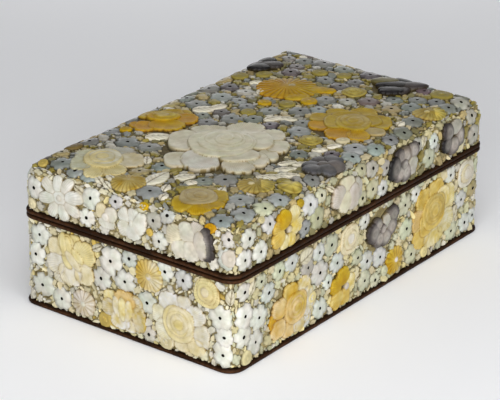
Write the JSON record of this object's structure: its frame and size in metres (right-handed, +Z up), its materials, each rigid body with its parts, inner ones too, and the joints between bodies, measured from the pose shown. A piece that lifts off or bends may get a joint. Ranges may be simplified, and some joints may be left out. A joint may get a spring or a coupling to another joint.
{
  "type": "inlaid box",
  "caption": "Long rectangular box with a rounded lift-off lid, bedded all over with carved shell flowers and edged with dark strips; hollow and empty.",
  "frame": {"origin": "middle of the box's underside, on the surface it stands on", "axes": "+X along the length, +Z up; the long front that the picture shows faces -Y and the end that it shows faces -X"},
  "size_m": [0.2536, 0.1536, 0.0905],
  "materials": {
    "carcass_wood": "dark stained and lacquered wood, bare of shell inside and underneath",
    "edge_strip": "near black lacquered strip with thin reddish brown rubbed edges",
    "cement_bed": "ochre and olive cement crowded with cream shell chips, petals and small flowers with a drilled dot",
    "white_shell": "carved white mother of pearl, satin with a faint pearly sheen",
    "amber_shell": "carved amber yellow shell, satin, stained darker in the cuts",
    "yellow_shell": "carved golden yellow shell, satin",
    "lemon_shell": "carved cream shell with a lemon yellow heart, satin",
    "tan_shell": "carved tan shell, satin",
    "olive_shell": "carved olive yellow shell, satin",
    "blacklip_shell": "carved dark purple grey shell grading to white, satin with a pearly sheen"
  },
  "bodies": {
    "root": {"base_carcass": "carcass_wood", "base_bed": "cement_bed", "base_foot_strip": "edge_strip", "base_rim_strip": "edge_strip", "lid_carcass": "carcass_wood", "lid_bed": "cement_bed", "lid_rim_strip": "edge_strip", "top_white_peony": "white_shell", "top_amber_peony": "amber_shell", "top_yellow_peony": "yellow_shell", "top_lemon_peony": "lemon_shell", "top_amber_chrysanthemum": "amber_shell", "top_amber_daisy": "amber_shell", "top_tan_rose": "tan_shell", "top_olive_chrysanthemum": "olive_shell", "top_brown_disc": "olive_shell", "top_dark_pansy": "blacklip_shell", "top_small_rose": "olive_shell", "top_olive_rose": "olive_shell", "top_black_pansy": "blacklip_shell", "top_far_black_pansy": "blacklip_shell", "top_amber_disc": "amber_shell", "lid_left_daisy": "white_shell", "lid_left_rose": "white_shell", "lid_left_white_pansy": "white_shell", "lid_left_dark_pansy": "blacklip_shell", "lid_front_chrysanthemum": "amber_shell", "lid_front_white_pansy": "white_shell", "lid_front_dark_pansy": "blacklip_shell", "lid_front_grey_pansy": "blacklip_shell", "lid_right_pansy": "white_shell", "lid_right_rose": "lemon_shell", "lid_right_daisy": "white_shell", "lid_back_pansy": "white_shell", "lid_back_chrysanthemum": "amber_shell", "lid_back_dark_pansy": "blacklip_shell", "left_lemon_peony": "lemon_shell", "left_chrysanthemum": "amber_shell", "left_amber_peony": "amber_shell", "left_cream_peony": "lemon_shell", "left_rose": "white_shell", "left_daisy": "tan_shell", "front_amber_peony": "amber_shell", "front_chrysanthemum": "amber_shell", "front_rose": "white_shell", "front_dark_pansy": "blacklip_shell", "front_yellow_peony": "yellow_shell", "front_golden_disc": "amber_shell", "front_white_rose": "white_shell", "right_lemon_peony": "lemon_shell", "right_chrysanthemum": "amber_shell", "right_rose": "white_shell", "right_amber_peony": "amber_shell", "back_yellow_peony": "yellow_shell", "back_chrysanthemum": "amber_shell", "back_rose": "white_shell", "back_pansy": "white_shell", "back_amber_peony": "amber_shell"}
  },
  "joints": []
}
